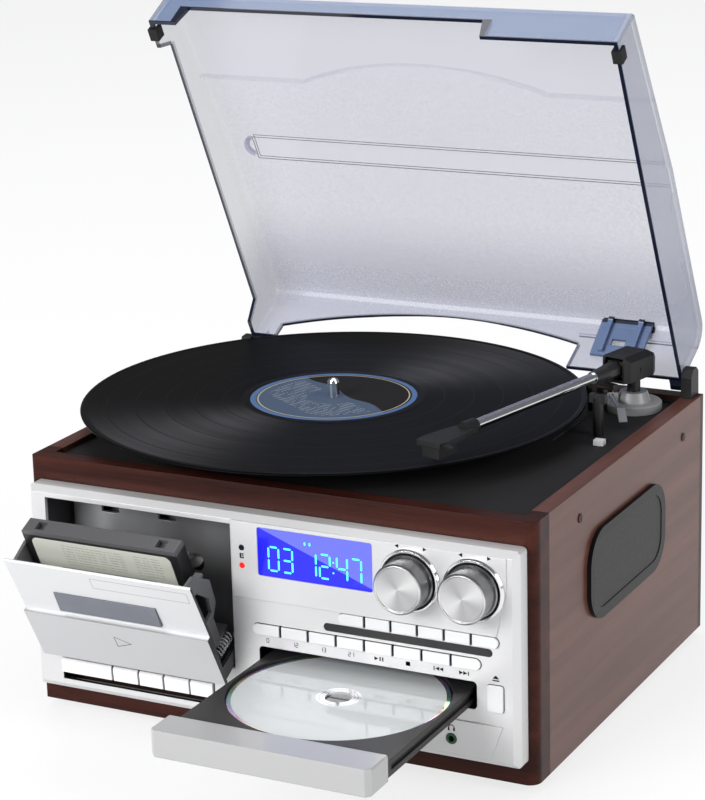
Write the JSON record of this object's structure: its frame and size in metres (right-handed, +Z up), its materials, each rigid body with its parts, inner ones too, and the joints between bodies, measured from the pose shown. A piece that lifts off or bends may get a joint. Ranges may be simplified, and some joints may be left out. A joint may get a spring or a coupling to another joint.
{
  "type": "stereo music centre",
  "caption": "Wooden tabletop music centre with a belt-drive record deck under a hinged clear lid, cassette door, disc tray, dials and push keys.",
  "frame": {"origin": "under the middle of the whole outline as drawn, on the plane that the feet stand on", "axes": "+X to the right seen from the front, +Y to the back, +Z up"},
  "size_m": [0.3402, 0.4214, 0.3981],
  "materials": {
    "wood": "glossy mahogany veneer",
    "back_board": "dark board",
    "rubber": "black rubber",
    "deck": "charcoal fine-grained plastic",
    "panel": "satin silver paint",
    "display": "lit blue display",
    "black_plastic": "black plastic",
    "driver": "paper cone and magnet",
    "circuit": "green boards with black parts",
    "steel": "bare steel",
    "platter": "black painted metal with a rubber mat",
    "vinyl": "black vinyl",
    "brass": "turned brass",
    "lid_clear": "smoked blue clear plastic",
    "tray_grey": "dark grey plastic",
    "tray_white": "white silver plastic",
    "disc_silver": "printed silver disc",
    "white_plastic": "white plastic",
    "knob_metal": "spun bright metal",
    "key_silver": "satin silver paint"
  },
  "bodies": {
    "cabinet": {"front_frame": "wood", "side_boards": "wood", "back_panel": "back_board", "base_board": "wood", "feet": "rubber", "deck_plate": "deck", "front_panel": "panel", "cassette_well": "panel", "display_window": "display", "speaker_grilles": "black_plastic", "speaker_drivers": "driver", "circuit_boards": "circuit", "cassette_mechanism": "steel", "disc_mechanism": "black_plastic", "turntable_motor": "steel", "tonearm_base": "steel", "hinge_blocks": "black_plastic", "screws": "steel", "drive_belt": "rubber"},
    "platter_body": {"platter": "platter", "record": "vinyl"},
    "pulley_body": {"motor_pulley": "brass"},
    "arm_swivel": {"tonearm_block": "black_plastic"},
    "arm": {"tonearm_tube": "black_plastic", "headshell": "black_plastic"},
    "cue_lever_body": {"cue_lever": "steel"},
    "speed_switch_body": {"speed_switch": "white_plastic"},
    "lid_body": {"lid": "lid_clear", "lid_bumpers": "rubber"},
    "tray": {"disc_tray": "tray_grey", "tray_front_piece": "tray_white"},
    "disc_body": {"disc": "disc_silver"},
    "door": {"cassette_door": "panel", "cassette": "black_plastic", "cassette_holder": "black_plastic", "door_spring": "steel"},
    "supply_reel_body": {"supply_reel": "white_plastic"},
    "takeup_reel_body": {"takeup_reel": "white_plastic"},
    "tuning_knob_body": {"tuning_knob": "knob_metal"},
    "volume_knob_body": {"volume_knob": "knob_metal"},
    "open_button_body": {"open_button": "key_silver"},
    "source_button_1_body": {"source_button_1": "key_silver"},
    "source_button_2_body": {"source_button_2": "key_silver"},
    "source_button_3_body": {"source_button_3": "key_silver"},
    "source_button_4_body": {"source_button_4": "key_silver"},
    "source_button_5_body": {"source_button_5": "key_silver"},
    "source_button_6_body": {"source_button_6": "key_silver"},
    "play_button_1_body": {"play_button_1": "key_silver"},
    "play_button_2_body": {"play_button_2": "key_silver"},
    "play_button_3_body": {"play_button_3": "key_silver"},
    "play_button_4_body": {"play_button_4": "key_silver"},
    "play_button_5_body": {"play_button_5": "key_silver"},
    "play_button_6_body": {"play_button_6": "key_silver"},
    "play_button_7_body": {"play_button_7": "key_silver"},
    "play_button_8_body": {"play_button_8": "key_silver"},
    "piano_key_1_body": {"piano_key_1": "key_silver"},
    "piano_key_2_body": {"piano_key_2": "key_silver"},
    "piano_key_3_body": {"piano_key_3": "key_silver"},
    "piano_key_4_body": {"piano_key_4": "key_silver"},
    "piano_key_5_body": {"piano_key_5": "key_silver"}
  },
  "joints": [
    {"name": "platter_spin", "type": "hinge", "parent": "cabinet", "child": "platter_body", "pos_m": [-0.01935, 0.0599, 0.1656], "axis": [0, 0, 1], "continuous": true},
    {"name": "pulley_spin", "type": "hinge", "parent": "cabinet", "child": "pulley_body", "pos_m": [-0.07956, 0.01774, 0.152], "axis": [0, 0, 1], "continuous": true},
    {"name": "arm_swing", "type": "hinge", "parent": "cabinet", "child": "arm_swivel", "pos_m": [0.13465, 0.1543, 0.18], "axis": [0, 0, 1], "range_deg": [-28.3, 13.6]},
    {"name": "arm_lift", "type": "hinge", "parent": "arm_swivel", "child": "arm", "pos_m": [0.13312, 0.14747, 0.178], "axis": [-0.9759, 0.2181, 0], "range_deg": [-0.15, 1.1]},
    {"name": "cue_lever_turn", "type": "hinge", "parent": "cabinet", "child": "cue_lever_body", "pos_m": [0.12315, 0.1458, 0.16], "axis": [-0.848, -0.5299, 0], "range_deg": [-2.8, 20]},
    {"name": "speed_switch_slide", "type": "slide", "parent": "cabinet", "child": "speed_switch_body", "axis": [0, 1, 0], "range_m": [0, 0.008]},
    {"name": "lid_hinge", "type": "hinge", "parent": "cabinet", "child": "lid_body", "pos_m": [0.01065, 0.1818, 0.1605], "axis": [1, 0, 0], "range_deg": [0, 63.4]},
    {"name": "tray_slide", "type": "slide", "parent": "cabinet", "child": "tray", "axis": [0, 1, 0], "range_m": [0, 0.1232]},
    {"name": "disc_spin", "type": "hinge", "parent": "tray", "child": "disc_body", "pos_m": [0.07285, -0.1203, 0.059], "axis": [0, 0, 1], "continuous": true},
    {"name": "door_hinge", "type": "hinge", "parent": "cabinet", "child": "door", "pos_m": [-0.06955, -0.0782, 0.0275], "axis": [1, 0, 0], "range_deg": [-25, 0]},
    {"name": "supply_reel_spin", "type": "hinge", "parent": "cabinet", "child": "supply_reel_body", "pos_m": [-0.0977, -0.0597, 0.1008], "axis": [0, 1, 0], "continuous": true},
    {"name": "takeup_reel_spin", "type": "hinge", "parent": "cabinet", "child": "takeup_reel_body", "pos_m": [-0.0552, -0.0597, 0.1008], "axis": [0, 1, 0], "continuous": true},
    {"name": "tuning_knob_turn", "type": "hinge", "parent": "cabinet", "child": "tuning_knob_body", "pos_m": [0.10065, -0.0875, 0.1181], "axis": [0, 1, 0], "continuous": true},
    {"name": "volume_knob_turn", "type": "hinge", "parent": "cabinet", "child": "volume_knob_body", "pos_m": [0.13805, -0.0875, 0.1181], "axis": [0, 1, 0], "continuous": true},
    {"name": "open_button_press", "type": "slide", "parent": "cabinet", "child": "open_button_body", "axis": [0, 1, 0], "range_m": [0, 0.001], "stiffness_N_per_m": 300, "springref_m": -0.001},
    {"name": "source_button_1_press", "type": "slide", "parent": "cabinet", "child": "source_button_1_body", "axis": [0, 1, 0], "range_m": [0, 0.001], "stiffness_N_per_m": 300, "springref_m": -0.001},
    {"name": "source_button_2_press", "type": "slide", "parent": "cabinet", "child": "source_button_2_body", "axis": [0, 1, 0], "range_m": [0, 0.001], "stiffness_N_per_m": 300, "springref_m": -0.001},
    {"name": "source_button_3_press", "type": "slide", "parent": "cabinet", "child": "source_button_3_body", "axis": [0, 1, 0], "range_m": [0, 0.001], "stiffness_N_per_m": 300, "springref_m": -0.001},
    {"name": "source_button_4_press", "type": "slide", "parent": "cabinet", "child": "source_button_4_body", "axis": [0, 1, 0], "range_m": [0, 0.001], "stiffness_N_per_m": 300, "springref_m": -0.001},
    {"name": "source_button_5_press", "type": "slide", "parent": "cabinet", "child": "source_button_5_body", "axis": [0, 1, 0], "range_m": [0, 0.001], "stiffness_N_per_m": 300, "springref_m": -0.001},
    {"name": "source_button_6_press", "type": "slide", "parent": "cabinet", "child": "source_button_6_body", "axis": [0, 1, 0], "range_m": [0, 0.001], "stiffness_N_per_m": 300, "springref_m": -0.001},
    {"name": "play_button_1_press", "type": "slide", "parent": "cabinet", "child": "play_button_1_body", "axis": [0, 1, 0], "range_m": [0, 0.001], "stiffness_N_per_m": 300, "springref_m": -0.001},
    {"name": "play_button_2_press", "type": "slide", "parent": "cabinet", "child": "play_button_2_body", "axis": [0, 1, 0], "range_m": [0, 0.001], "stiffness_N_per_m": 300, "springref_m": -0.001},
    {"name": "play_button_3_press", "type": "slide", "parent": "cabinet", "child": "play_button_3_body", "axis": [0, 1, 0], "range_m": [0, 0.001], "stiffness_N_per_m": 300, "springref_m": -0.001},
    {"name": "play_button_4_press", "type": "slide", "parent": "cabinet", "child": "play_button_4_body", "axis": [0, 1, 0], "range_m": [0, 0.001], "stiffness_N_per_m": 300, "springref_m": -0.001},
    {"name": "play_button_5_press", "type": "slide", "parent": "cabinet", "child": "play_button_5_body", "axis": [0, 1, 0], "range_m": [0, 0.001], "stiffness_N_per_m": 300, "springref_m": -0.001},
    {"name": "play_button_6_press", "type": "slide", "parent": "cabinet", "child": "play_button_6_body", "axis": [0, 1, 0], "range_m": [0, 0.001], "stiffness_N_per_m": 300, "springref_m": -0.001},
    {"name": "play_button_7_press", "type": "slide", "parent": "cabinet", "child": "play_button_7_body", "axis": [0, 1, 0], "range_m": [0, 0.001], "stiffness_N_per_m": 300, "springref_m": -0.001},
    {"name": "play_button_8_press", "type": "slide", "parent": "cabinet", "child": "play_button_8_body", "axis": [0, 1, 0], "range_m": [0, 0.001], "stiffness_N_per_m": 300, "springref_m": -0.001},
    {"name": "piano_key_1_press", "type": "hinge", "parent": "cabinet", "child": "piano_key_1_body", "pos_m": [0.01065, -0.0587, 0.035], "axis": [1, 0, 0], "range_deg": [0, 7], "stiffness_Nm_per_rad": 0.08, "springref_deg": -5.73},
    {"name": "piano_key_2_press", "type": "hinge", "parent": "cabinet", "child": "piano_key_2_body", "pos_m": [0.01065, -0.0587, 0.035], "axis": [1, 0, 0], "range_deg": [0, 7], "stiffness_Nm_per_rad": 0.08, "springref_deg": -5.73},
    {"name": "piano_key_3_press", "type": "hinge", "parent": "cabinet", "child": "piano_key_3_body", "pos_m": [0.01065, -0.0587, 0.035], "axis": [1, 0, 0], "range_deg": [0, 7], "stiffness_Nm_per_rad": 0.08, "springref_deg": -5.73},
    {"name": "piano_key_4_press", "type": "hinge", "parent": "cabinet", "child": "piano_key_4_body", "pos_m": [0.01065, -0.0587, 0.035], "axis": [1, 0, 0], "range_deg": [0, 7], "stiffness_Nm_per_rad": 0.08, "springref_deg": -5.73},
    {"name": "piano_key_5_press", "type": "hinge", "parent": "cabinet", "child": "piano_key_5_body", "pos_m": [0.01065, -0.0587, 0.035], "axis": [1, 0, 0], "range_deg": [0, 7], "stiffness_Nm_per_rad": 0.08, "springref_deg": -5.73}
  ],
  "couplings": [
    {"joint": "pulley_spin", "follows": "platter_spin", "ratio": 9.5833},
    {"joint": "arm_lift", "follows": "cue_lever_turn", "ratio": 0.055}
  ]
}
